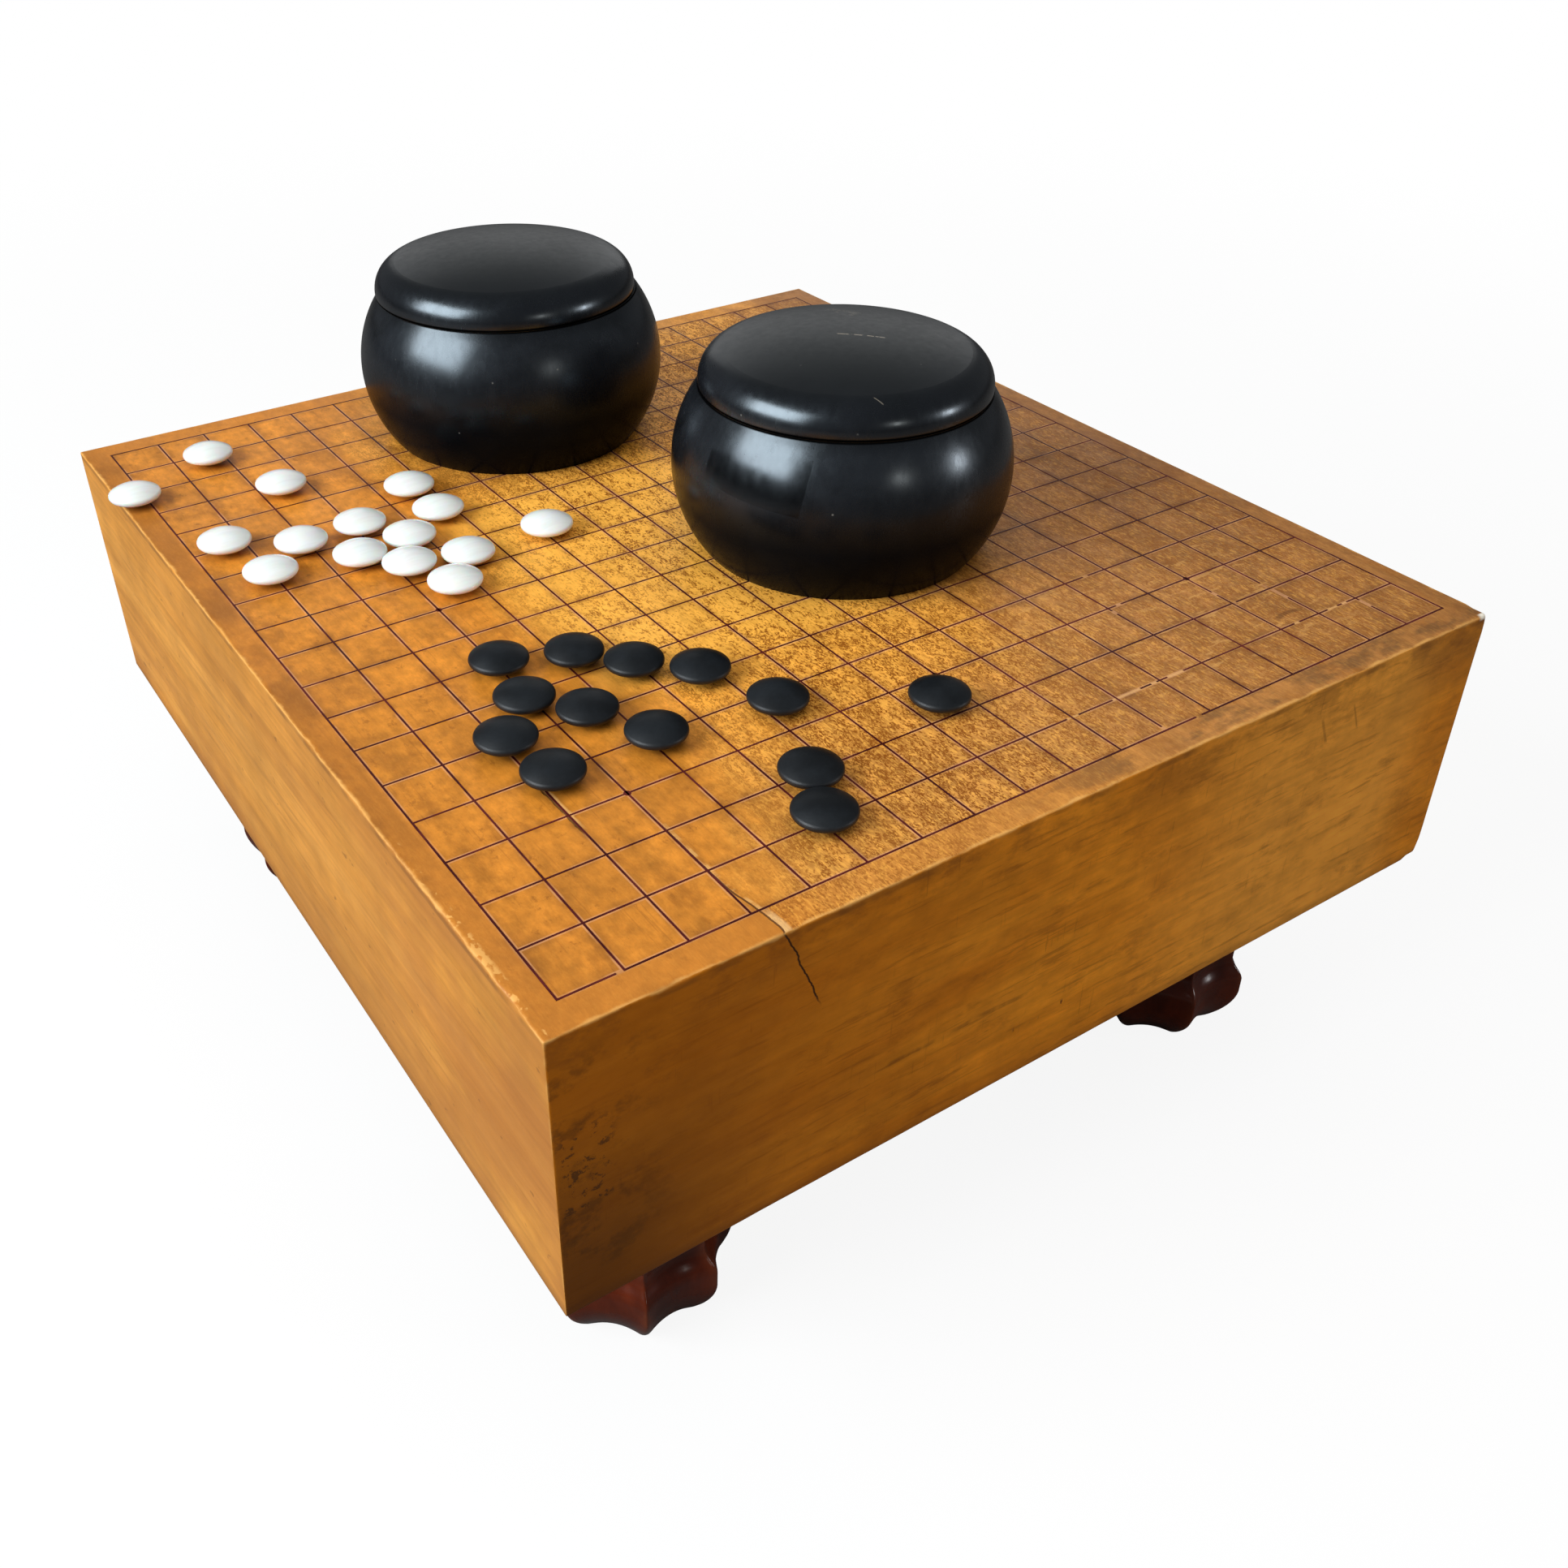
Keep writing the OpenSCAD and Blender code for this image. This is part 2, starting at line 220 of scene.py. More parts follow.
class Finish:
    """A material under work: its nodes are laid one on another, and paint() leads them to the shader."""

    def __init__(self, name, **sockets):
        self.material = bpy.data.materials.new(name)
        self.material.use_nodes = True
        self.tree = self.material.node_tree
        self.shader = self.tree.nodes["Principled BSDF"]
        for socket, value in sockets.items():
            self.shader.inputs[socket.replace("_", " ")].default_value = value
        self.spot = self.lay("ShaderNodeTexCoord", output="Object")
        axes = self.node("ShaderNodeSeparateXYZ", {0: self.spot}).outputs
        self.x, self.y, self.z = (Varying(self, axis) for axis in axes)

    def node(self, kind, inputs=None, **settings):
        made = self.tree.nodes.new(kind)
        for key, value in settings.items():
            setattr(made, key, value)
        for key, value in (inputs or {}).items():
            if isinstance(value, Varying):
                self.tree.links.new(value.socket, made.inputs[key])
            else:
                made.inputs[key].default_value = value
        return made

    def lay(self, kind, inputs=None, output=0, **settings):
        """Lays a node and gives one of its outputs for use in others."""
        return Varying(self, self.node(kind, inputs, **settings).outputs[output])

    def calc(self, how, a, b=0.0):
        return self.lay("ShaderNodeMath", {0: a, 1: b}, operation=how)

    def noise(self, stretch, detail, rough=0.55, twist=0.0):
        """Noise with so many waves to the metre along X, Y and Z."""
        where = self.lay("ShaderNodeMapping", {"Vector": self.spot, "Scale": stretch})
        values = {"Vector": where, "Scale": 1.0, "Detail": detail, "Roughness": rough, "Distortion": twist}
        return self.lay("ShaderNodeTexNoise", values)

    def fade(self, value, low, high):
        """0 below low, 1 above high, smooth between; the other way round where low is above high."""
        start, stop = (0.0, 1.0) if low < high else (1.0, 0.0)
        values = {0: value, 1: min(low, high), 2: max(low, high), 3: start, 4: stop}
        return self.lay("ShaderNodeMapRange", values, interpolation_type="SMOOTHSTEP")

    def within(self, value, low, high, soft):
        """1 from low to high, fading to 0 over a soft stretch on either side."""
        return self.fade(value, low - soft, low) * self.fade(value, high + soft, high)

    def stroke(self, off, width):
        """1 on a line, fading to 0 at a width either side of it; off is the distance from the line."""
        return self.fade(abs(off), width, width * 0.35)

    def either(self, *masks):
        """The largest of some masks at each place."""
        result = masks[0]
        for mask in masks[1:]:
            result = self.calc("MAXIMUM", result, mask)
        return result

    def range(self, value, low, high):
        """A noise value spread over a range of numbers."""
        return self.lay("ShaderNodeMapRange", {0: value, 1: 0.3, 2: 0.7, 3: low, 4: high})

    def mix(self, amount, a, b, how="MIX"):
        return self.lay("ShaderNodeMix", {0: amount, 6: a, 7: b}, 2, data_type="RGBA", blend_type=how)

    def shade(self, colour, value, dark, light):
        """A colour made darker or lighter by a value around one half."""
        level = self.lay("ShaderNodeMapRange", {0: value, 1: 0.25, 2: 0.75, 3: dark, 4: light})
        grey = self.lay("ShaderNodeCombineColor", {0: level, 1: level, 2: level})
        return self.mix(1.0, colour, grey, "MULTIPLY")

    def lead(self, value, socket):
        """Leads a varying value to a socket of the shader."""
        self.tree.links.new(value.socket, self.shader.inputs[socket])

    def paint(self, colour, roughness, height=None, depth=0.0, strength=0.0):
        self.lead(colour, "Base Color")
        self.lead(roughness, "Roughness")
        if height is not None:
            values = {"Height": height, "Distance": depth, "Strength": strength}
            self.lead(self.lay("ShaderNodeBump", values), "Normal")
        return self.material


def top_wood():
    """The playing face: smooth orange brown at the left, golden and thickly flecked in the middle, with a
    painted sheen near the bowls, and duller at the right, where part of the darkening is painted shade of the
    bowls."""
    f = Finish("block_top_wood", Specular_IOR_Level=0.32)
    drift = f.x + (f.noise((26, 12, 1), 3) - 0.5) * 0.13 - f.y * 0.10
    flecked = f.fade(drift, -0.120, -0.040)
    dull_and_shaded = f.fade(drift - (f.y + 0.05) * 0.20, 0.020, 0.125)
    # where the bowls stand the face is brighter: a painted sheen
    painted_sheen = f.within(f.x, -0.085, 0.010, 0.035) * f.within(f.y, -0.075, 0.060, 0.035)
    border = f.either(f.fade(abs(f.x), field_x, field_x + 0.0012),
                      f.fade(abs(f.y), field_y, field_y + 0.0012))
    colour = waxed_ground(f, drift, flecked, dull_and_shaded, painted_sheen)
    colour = handled_border(f, colour, border, dull_and_shaded)
    colour, flecks = crooked_flecks(f, colour, flecked, dull_and_shaded, painted_sheen, border)
    colour = beside_lines(f, colour, border, dull_and_shaded)
    colour, check = opened_checks(f, colour)
    colour = rubbed_marks(f, colour)
    colour = worn_top_edge(f, colour)
    height = f.noise((420, 60, 1), 3) * 0.5 - flecks * 0.5 - check * 3.0
    roughness = f.range(f.noise((40, 30, 1), 4), 0.36, 0.52) + flecks * 0.10
    return f.paint(colour, roughness, height, 0.0002, 0.45)


def waxed_ground(f, drift, flecked, dull_and_shaded, painted_sheen):
    """The face's colours: long faint streaks of the grain and cloudy patches of old wax, with a painted sheen
    near the bowls that fades toward the front, and painted shade toward the right.
    """
    colour = f.mix(flecked, tint(210, 132, 42), tint(250, 174, 68))
    # the flecked middle is darker toward the front, where the painted sheen fades
    colour = f.mix(flecked * f.fade(f.y, -0.105, -0.185) * 0.85, colour, tint(206, 142, 68))
    # the right is duller: plainer wood with fewer flecks, and partly painted shade of the bowls
    colour = f.mix(dull_and_shaded, colour, tint(180, 122, 62))
    # darker still toward the far right: painted shade
    colour = f.mix(f.fade(drift, 0.110, 0.200) * 0.6, colour, tint(140, 94, 50))
    colour = f.mix(f.fade(f.x, -0.10, -0.20) * f.fade(f.y, -0.10, -0.21) * 0.4, colour, tint(172, 106, 38))
    colour = f.shade(colour, f.noise((150, 7, 1), 4), 0.82, 1.15)
    colour = f.shade(colour, f.noise((30, 24, 1), 4, 0.6), 0.72, 1.22)
    colour = f.shade(colour, f.noise((260, 170, 1), 4, 0.6), 0.72, 1.24)
    dark_patch = f.fade(f.noise((75, 48, 1), 5, 0.68), 0.50, 0.70)
    # near the bowls the stains are fainter and a painted sheen lightens the face
    colour = f.mix(dark_patch * (0.50 - painted_sheen * 0.40), colour, tint(144, 84, 24))
    colour = f.mix(painted_sheen * 0.55, colour, tint(255, 188, 76))
    scuff = f.fade(f.noise((210, 150, 1), 5, 0.7), 0.58, 0.70)
    colour = f.mix(scuff * (0.56 - flecked * 0.3), colour, tint(136, 78, 22))
    hair = f.fade(f.noise((900, 26, 1), 3, 0.6), 0.60, 0.72)
    return f.mix(hair * (0.34 - flecked * 0.2), colour, tint(138, 80, 26))


def handled_border(f, colour, border, dull_and_shaded):
    """The border outside the lines is smoother, and smudged beside the outermost line."""
    colour = f.mix(border * (0.5 - dull_and_shaded * 0.42), colour, tint(190, 118, 44))
    smudge = f.fade(f.noise((34, 26, 1), 4, 0.62), 0.46, 0.66) * f.fade(abs(f.x), 0.178, 0.2)
    colour = f.mix(smudge * 0.55, colour, tint(126, 74, 30))
    handled = (f.fade(f.x, -field_x, -field_x - 0.003) * f.within(f.y, -0.12, 0.20, 0.05)
               * f.fade(f.noise((60, 22, 1), 4, 0.6), 0.30, 0.58))
    colour = f.mix(handled * 0.55, colour, tint(142, 86, 28))
    grey = (f.within(f.y, -field_y - 0.0085, -field_y - 0.001, 0.003) * f.fade(f.x, -0.06, 0.03)
            * f.fade(f.noise((46, 90, 1), 4, 0.66), 0.42, 0.60))
    return f.mix(grey * 0.62, colour, tint(92, 66, 40))


def crooked_flecks(f, colour, flecked, dull_and_shaded, painted_sheen, border):
    """Short crooked dark flecks between fine fibres, all along the grain and thickest in the middle."""
    worm = abs(f.noise((1450, 560, 1), 1.5, 0.5, 0.4) - 0.5)
    gather = f.noise((1050, 620, 1), 1) + f.noise((60, 34, 1), 3) * 0.35 + f.noise((380, 150, 1), 2)
    # fewer flecks where the painted sheen lies
    fleck = f.fade(worm, 0.16, 0.02) * f.fade(gather - painted_sheen * 0.09, 1.04, 1.26)
    front_border = f.fade(f.y, -field_y, -field_y - 0.0005)
    on_border = front_border * f.fade(f.x, -0.1285, -0.1275) * f.fade(f.x, 0.02, -0.09)
    amount = f.either(flecked * (1.0 - border * 0.82), on_border * 0.6)
    amount = amount * (0.92 - dull_and_shaded * 0.44) + 0.08
    fibre = f.noise((1250, 280, 1), 2, 0.6)
    colour = f.mix(f.fade(fibre, 0.50, 0.66) * amount * 0.34, colour, tint(152, 84, 16))
    colour = f.mix(f.fade(fibre, 0.50, 0.38) * amount * 0.50, colour, tint(255, 184, 78))
    flecks = fleck * amount
    return f.mix(flecks, colour, tint(136, 74, 12)), flecks


def beside_lines(f, colour, border, dull_and_shaded):
    """Dirt gathers along the lines, and close beside them is a painted highlight, a thin pale edge."""
    off_x = f.calc("PINGPONG", f.x / cell_x, 0.5)
    off_y = f.calc("PINGPONG", f.y / cell_y, 0.5)
    inside = 1.0 - border
    near = f.either(f.fade(off_x, 0.20, 0.0), f.fade(off_y, 0.20, 0.0))
    dirt = near * inside * f.fade(f.noise((52, 52, 1), 4, 0.6), 0.36, 0.64)
    colour = f.mix(dirt * (dull_and_shaded * 0.18 + 0.40), colour, tint(108, 66, 30))
    # a painted highlight as a pale edge close beside the lines
    close = f.either(f.fade(off_x, 0.052, 0.036), f.fade(off_y, 0.048, 0.033))
    line_highlight = close * inside * f.fade(f.noise((70, 70, 1), 3), 0.38, 0.58)
    return f.mix(line_highlight * 0.42, colour, tint(226, 166, 120))


def opened_checks(f, colour):
    """Two checks that opened along the grain, each with a pale lip; the longer one runs into a ruled line."""
    wobble = (f.noise((1, 130, 1), 3) - 0.5) * 0.0022
    short = f.x + 0.1546 - wobble
    long = f.x + 0.1282 + f.fade(f.y, -0.224, -0.196) * 0.0034 - wobble * 0.5
    long_run = f.fade(f.y, -0.156, -0.176)
    short_lip = f.stroke(short - 0.0009, 0.0014) * f.within(f.y, -0.146, -0.130, 0.008)
    long_lip = f.stroke(long - 0.0008, 0.0010) * long_run * f.fade(f.noise((1, 240, 1), 2), 0.46, 0.60)
    colour = f.mix(f.either(short_lip, long_lip) * 0.55, colour, tint(228, 176, 104))
    wedge = f.stroke(long - 0.0013, 0.0019) * f.fade(f.y, -0.2130, -0.2200)
    colour = f.mix(wedge * 0.55, colour, tint(234, 192, 132))
    short_check = f.stroke(short, 0.0007) * f.within(f.y, -0.150, -0.122, 0.008)
    check = f.either(short_check, f.stroke(long, 0.0005) * long_run)
    return f.mix(check * 0.85, colour, tint(74, 40, 14)), check


def rubbed_marks(f, colour):
    """Bare wood under the line that flaked most, a gouge near it, and scrapes where the face is rubbed."""
    bare = f.stroke(f.y + 8 * cell_y, 0.0007) * f.within(f.x, 0.015, 0.172, 0.002)
    colour = f.mix(bare * 0.65, colour, tint(218, 166, 104))
    curve = f.y + 0.1835 + (f.x - 0.1440) ** 2.0 * 26.0
    gouge = f.stroke(curve, 0.0016) * f.within(f.x, 0.1385, 0.1500, 0.003)
    colour = f.mix(gouge * 0.6, colour, tint(98, 58, 24))
    scrape = (f.within(f.x, 0.07, 0.15, 0.03) * f.within(f.y, -0.19, -0.13, 0.025)
              * f.fade(f.noise((90, 300, 1), 4, 0.6), 0.57, 0.66))
    return f.mix(scrape * 0.45, colour, tint(214, 158, 88))


def worn_top_edge(f, colour):
    """The worn edge is pale, and the chip at the right front corner is nearly white."""
    from_edge = f.calc("MINIMUM", block_half.x - abs(f.x), block_half.y - abs(f.y))
    worn = f.fade(from_edge + f.noise((120, 120, 120), 3) * 0.004, 0.0034, 0.0018)
    left_chips = (f.fade(f.x, 0.004 - block_half.x, 0.0025 - block_half.x) * f.fade(f.y, -0.10, -0.15)
                  * f.fade(f.noise((200, 130, 1), 3, 0.6), 0.54, 0.60))
    colour = f.mix(f.either(worn, left_chips) * 0.7, colour, tint(228, 170, 92))
    return f.mix(corner_chip(f), colour, tint(238, 230, 214))


def corner_chip(f):
    """The bare wood of the chip at the top of the right front corner."""
    right = f.fade(f.x, block_half.x - 0.0052, block_half.x - 0.0030)
    front = f.fade(f.y, 0.0022 - block_half.y, 0.0012 - block_half.y)
    return right * front * f.fade(f.z, top_z - 0.0024, top_z - 0.0012)


def side_wood():
    """The long sides: straight grain along Y, pale gold between browner bands."""
    f = Finish("block_side_wood", Specular_IOR_Level=0.32)
    bands = f.noise((1, 3.2, 48), 4, 0.55, 0.2)
    colour = f.mix(f.fade(bands, 0.26, 0.74), tint(204, 134, 50), tint(228, 158, 68))
    colour = f.shade(colour, f.noise((1, 12, 420), 4), 0.85, 1.10)
    colour = f.shade(colour, f.noise((1, 9, 12), 3), 0.78, 1.16)
    colour = f.shade(colour, f.noise((1, 60, 85), 4, 0.62), 0.84, 1.11)
    brown = (f.within(f.y, -0.03, 0.085, 0.05) * f.within(f.z, 0.165, 0.195, 0.012)
             * f.fade(f.noise((1, 7, 120), 4), 0.38, 0.66))
    colour = f.mix(brown * 0.36, colour, tint(138, 86, 40))
    toward_front = f.fade(f.y, 0.02, -0.20) * f.fade(f.noise((1, 14, 26), 4, 0.6), 0.28, 0.62)
    colour = f.mix(toward_front * 0.62, colour, tint(172, 106, 50))
    lower = f.fade(f.z, 0.165, under_z) * f.fade(f.noise((1, 10, 20), 4, 0.6), 0.25, 0.65)
    colour = f.mix(lower * 0.45, colour, tint(168, 104, 48))
    grain = f.fade(f.noise((1, 26, 430), 4, 0.65), 0.54, 0.66) * f.fade(f.noise((1, 10, 24), 3), 0.36, 0.62)
    colour = f.mix(grain * 0.34, colour, tint(158, 98, 38))
    dent = f.fade(f.noise((1, 150, 230), 2), 0.70, 0.76)
    colour = f.mix(dent * 0.5, colour, tint(120, 74, 36))
    colour = worn_rims(f, colour, block_half.y - abs(f.y))
    height = bands * 0.3 + f.noise((1, 22, 620), 3)
    return f.paint(colour, f.range(f.noise((1, 14, 60), 4), 0.36, 0.52), height, 0.00012, 0.4)


def worn_rims(f, colour, from_end):
    """Paler wood along the top edge and the upright corners, and a dark line of dirt under the top edge."""
    ragged = f.noise((95, 95, 95), 4) * 0.0036
    down = top_z - f.z
    dark = f.within(down, 0.0016, 0.0026, 0.0014) * f.fade(f.noise((40, 40, 1), 3), 0.4, 0.6)
    colour = f.mix(dark * 0.45, colour, tint(96, 56, 24))
    worn = f.either(f.fade(down + ragged, 0.0030, 0.0016), f.fade(from_end + ragged, 0.0026, 0.0014) * 0.6)
    colour = f.mix(worn * 0.75, colour, tint(224, 168, 92))
    foot = f.fade(f.z - under_z, 0.007, 0.0)
    return f.mix(foot * 0.35, colour, tint(84, 50, 24))


def end_wood():
    """The ends: growth rings seen edge on, so level cloudy bands, with the stains and marks of long use."""
    f = Finish("block_end_wood", Specular_IOR_Level=0.12)
    cloud = f.noise((7, 1, 26), 5, 0.6, 0.3)
    colour = f.mix(f.fade(cloud, 0.30, 0.70), tint(218, 126, 18), tint(246, 154, 36))
    colour = f.mix(f.fade(f.x, 0.01, 0.11) * f.fade(f.x, 0.20, 0.16) * 0.95, colour, tint(255, 170, 62))
    colour = f.shade(colour, f.noise((14, 1, 300), 4), 0.85, 1.12)
    colour = f.shade(colour, f.noise((16, 1, 18), 4, 0.65), 0.80, 1.14)
    colour = f.shade(colour, f.noise((85, 1, 130), 4, 0.62), 0.80, 1.16)
    smear = f.fade(f.noise((44, 1, 90), 6, 0.72), 0.53, 0.70)
    colour = f.mix(smear * 0.32, colour, tint(122, 60, 12))
    level = f.fade(f.noise((26, 1, 900), 3, 0.6), 0.60, 0.70)
    upright = f.fade(f.noise((700, 1, 46), 3, 0.6), 0.63, 0.72)
    hair = f.either(level, upright) * f.fade(f.noise((22, 1, 30), 3), 0.40, 0.62)
    colour = f.mix(hair * 0.34, colour, tint(130, 76, 18))
    grain = f.fade(f.noise((36, 1, 430), 4, 0.65), 0.54, 0.66) * f.fade(f.noise((15, 1, 24), 3), 0.36, 0.60)
    colour = f.mix(grain * 0.40, colour, tint(124, 66, 12))
    front = f.fade(f.y, 0.0, -0.01)
    colour = front_stains(f, colour, front, cloud)
    colour, hollows = front_marks(f, colour, front)
    colour = worn_rims(f, colour, block_half.x - abs(f.x))
    colour = f.mix(corner_chip(f), colour, tint(236, 226, 208))
    height = f.noise((44, 1, 520), 3) + f.noise((60, 1, 60), 4) * 0.6 - hollows * 3.0
    return f.paint(colour, f.range(f.noise((18, 1, 30), 4), 0.36, 0.54), height, 0.00014, 0.45)


def front_stains(f, colour, front, cloud):
    """Darker toward the left, most at the low corner, where there are inky specks, and stained along the top
    and at the top right."""
    colour = f.mix(f.fade(f.x, 0.02, -0.19) * front * 0.70, colour, tint(166, 88, 0))
    dark_patch = f.fade(f.x, -0.110, -0.204) * f.fade(f.z, 0.205, 0.115) * front
    colour = f.mix(dark_patch * 0.75, colour, tint(70, 34, 2))
    soot = (f.fade(f.x, -0.150, -0.200) * f.within(f.z, 0.125, 0.200, 0.02) * front
            * f.fade(f.noise((60, 1, 75), 5, 0.7), 0.48, 0.62))
    colour = f.mix(soot * 0.42, colour, tint(50, 32, 12))
    ink = (f.within(f.x, -0.204, -0.192, 0.006) * f.within(f.z, 0.150, 0.178, 0.008) * front
           * f.fade(f.noise((230, 1, 260), 4, 0.72), 0.55, 0.60))
    colour = f.mix(ink * 0.65, colour, tint(34, 28, 20))
    rim_dirt = f.fade(f.noise((38, 1, 60), 5, 0.7), 0.44, 0.60) * f.fade(f.z, top_z - 0.026, top_z - 0.002)
    colour = f.mix(rim_dirt * front * 0.36, colour, tint(100, 54, 22))
    far = f.fade(f.x, 0.150, 0.188) * f.fade(f.z, 0.184, 0.205) * f.range(cloud, 0.4, 1.0)
    return f.mix(far * front * 0.45, colour, tint(112, 66, 26))


def front_marks(f, colour, front):
    wave = (f.noise((60, 1, 1), 3) - 0.5) * 0.004
    streak = (f.stroke(f.z - 0.1412 - wave, 0.0014) * f.within(f.x, -0.086, -0.016, 0.012) * front
              * f.fade(f.noise((90, 1, 1), 3, 0.6), 0.40, 0.60))
    colour = f.mix(streak * 0.40, colour, tint(92, 52, 18))
    dents = (f.stroke(f.z - 0.1262, 0.0022) * f.within(f.x, -0.026, 0.002, 0.002) * front
             * f.fade(f.noise((420, 1, 90), 1), 0.54, 0.62))
    colour = f.mix(dents * 0.8, colour, tint(84, 44, 16))
    slant = f.x + f.z * 0.45
    scratch = f.either(f.stroke(slant - 0.2085, 0.0010), f.stroke(slant - 0.2265, 0.0007))
    colour = f.mix(scratch * f.within(f.z, 0.195, 0.204, 0.003) * front * 0.36, colour, tint(110, 64, 22))
    crook = (f.noise((1, 1, 150), 3, 0.6) - 0.5) * 0.003
    off = f.x + 0.1284 - (top_z - f.z) * 0.40 - crook
    check = f.stroke(off, 0.0005) * f.fade(f.z, 0.183, 0.190) * front
    return f.mix(check * 0.92, colour, tint(34, 18, 8)), f.either(check, dents)


def under_wood():
    """The underside: bare, planed and never waxed."""
    f = Finish("block_under_wood", Specular_IOR_Level=0.3)
    grain = f.noise((120, 6, 20), 5, 0.6)
    colour = f.mix(f.fade(grain, 0.34, 0.66), tint(150, 100, 52), tint(186, 132, 74))
    colour = f.shade(colour, f.noise((18, 12, 18), 4), 0.84, 1.10)
    roughness = f.range(f.noise((60, 20, 20), 3), 0.58, 0.74)
    return f.paint(colour, roughness, f.noise((700, 40, 60), 3), 0.0002, 0.5)


block_points, block_faces, block_sides = skin_of_block()
block = new_piece("wood_block", block_points, block_faces, 30)
for wood in (top_wood(), side_wood(), end_wood(), under_wood()):
    block.data.materials.append(wood)
block.data.polygons.foreach_set("material_index", block_sides)
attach(block, "board")
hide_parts("board_block")

# The ruled lines and star points: dark lacquer laid with a blade, so that it stands a little above the
# wood. It has flaked where the board is handled, mostly along the second line from the front.
line_w, line_h, ribbon_long = 0.0008, 0.00012, 0.0028
# stretches of lacquer that have flaked off: line number along Y from the middle, from X, to X
flaked = [(-8, 0.0205, 0.0245), (-8, 0.0268, 0.0290), (-8, 0.0418, 0.0436), (-8, 0.0460, 0.0545),
          (-8, 0.0620, 0.0632), (-8, 0.0700, 0.0790), (-8, 0.1000, 0.1016), (-8, 0.1405, 0.1432),
          (-8, 0.1605, 0.1660), (-8, 0.1680, 0.1695), (-7, 0.1310, 0.1330), (-9, 0.0590, 0.0605),
          (-9, -0.1785, -0.1772), (-6, 0.0930, 0.0945), (-5, 0.0990, 0.1012)]
# the same for lines along Y: line number along X, from Y, to Y
flaked_along = [(7, -0.176, -0.163), (8, -0.1985, -0.1925), (6, -0.160, -0.156), (4, -0.149, -0.146),
                (2, -0.2145, -0.2135)]


def ruled_line(points, faces, start, end, across, number, breaks):
    """One line as a run of short ribbons with raised sides, left out where the lacquer has flaked."""
    steps = round((end - start) / ribbon_long)
    wide = []
    for s in range(steps + 1):
        place = start + (end - start) * s / steps
        swell = noise.noise(Vector((place * 240, number * 7.3, 1.7)))
        swell += 0.5 * noise.noise(Vector((place * 900, number * 3.1, 4.2)))
        wide.append((place, line_w * 0.44 * (1 + 0.14 * swell)))
    for s in range(steps):
        (a, wa), (b, wb) = wide[s], wide[s + 1]
        if any(low < (a + b) / 2 < high for low, high in breaks):
            continue
        first = len(points)
        for place, half in ((a, wa), (b, wb)):
            outline = ((-half, 0), (-half, line_h), (half, line_h), (half, 0))
            points.extend(across(place, side, up) for side, up in outline)
        for corner in range(first, first + 3):
            faces.append([corner, corner + 4, corner + 5, corner + 1])


line_points, line_faces = [], []
for i in range(-9, 10):
    breaks = [(low, high) for number, low, high in flaked_along if number == i]
    ruled_line(line_points, line_faces, -field_y - line_w / 2, field_y + line_w / 2,
               lambda place, side, up: (i * cell_x - side, place, top_z + up), i, breaks)
# the lines across lie a hair lower, so that no two faces coincide at a crossing
for j in range(-9, 10):
    breaks = [(low, high) for number, low, high in flaked if number == j]
    ruled_line(line_points, line_faces, -field_x - line_w / 2, field_x + line_w / 2,
               lambda place, side, up: (place, j * cell_y + side, top_z + up * 0.96), j + 40, breaks)
lines = new_piece("ruled_lines", line_points, line_faces, 30)

lacquer = Finish("line_lacquer", Specular_IOR_Level=0.2)
rubbed = lacquer.noise((45, 45, 1), 4, 0.65)
colour = lacquer.mix(lacquer.fade(rubbed, 0.38, 0.66), tint(58, 14, 16), tint(92, 31, 29))
line_lacquer = lacquer.paint(colour, lacquer.range(rubbed, 0.30, 0.55))
lines.data.materials.append(line_lacquer)
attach(lines, "board")
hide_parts("grid_lines")


def dress(node, material):
    """Puts a finish on a CAD piece in place of its plain one."""
    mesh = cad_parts[node].data
    mesh.materials.clear()
    mesh.materials.append(material)


dress("star_points", line_lacquer)

# The legs: each carved from one piece as a gardenia fruit, with eight sharp ridges and a hollow flute
# between each two, then lacquered a glossy dark red brown. A square tenon holds it in the block.
leg_tall = under_z
toe, calyx_z, waist_z, fruit_z = 0.002, 0.020, 0.040, 0.071
shoulder_low, shoulder_high, toe_inset = 0.0275, 0.0372, 0.0020
foot_r, calyx_r, waist_r, fruit_r, crown_r = 0.033, 0.041, 0.035, 0.045, 0.038
# as shares of the ridge's radius: the flutes' depth and the wear of the ridges, and what the foot adds
flute_count, flute_deep, ridge_worn, ridge_soft = 8, 0.09, 0.985, 0.010
foot_deeper, foot_worn, foot_softer = 0.45, 0.055, 0.008


def ease(z, low, high):
    return (1 - math.cos(math.pi * (z - low) / (high - low))) / 2


def ridge_radius(z):
    """The leg's radius at its ridges: foot, low swelling, waist, fruit and crown."""
    if z < calyx_z:
        return calyx_r - (calyx_r - foot_r) * ((calyx_z - max(z, toe)) / (calyx_z - toe)) ** 2
    if z < waist_z:
        on_shoulder = min(max(z, shoulder_low), shoulder_high)
        return calyx_r + (waist_r - calyx_r) * ease(on_shoulder, shoulder_low, shoulder_high)
    if z < fruit_z:
        return waist_r + (fruit_r - waist_r) * ease(z, waist_z, fruit_z)
    return fruit_r + (crown_r - fruit_r) * ((z - fruit_z) / (leg_tall - fruit_z)) ** 2


def flute_outline(turn, z):
    """Radius of the leg's outline for sharp ridges of radius 1, at an angle from the middle of a flute; low
    down the flutes are cut deeper and the ridges are worn round."""
    half = math.pi / flute_count
    low = max(0.0, 1 - z / calyx_z)
    deep = flute_deep * (1 + foot_deeper * low)
    floor = math.cos(half) - deep
    arc = (deep ** 2 + math.sin(half) ** 2) / (2 * deep)
    centre = floor + arc
    radius = centre * math.cos(turn) - math.sqrt(arc ** 2 - (centre * math.sin(turn)) ** 2)
    worn, soft = ridge_worn - foot_worn * low, ridge_soft + foot_softer * low
    return worn - soft * math.log(1 + math.exp((worn - radius) / soft))


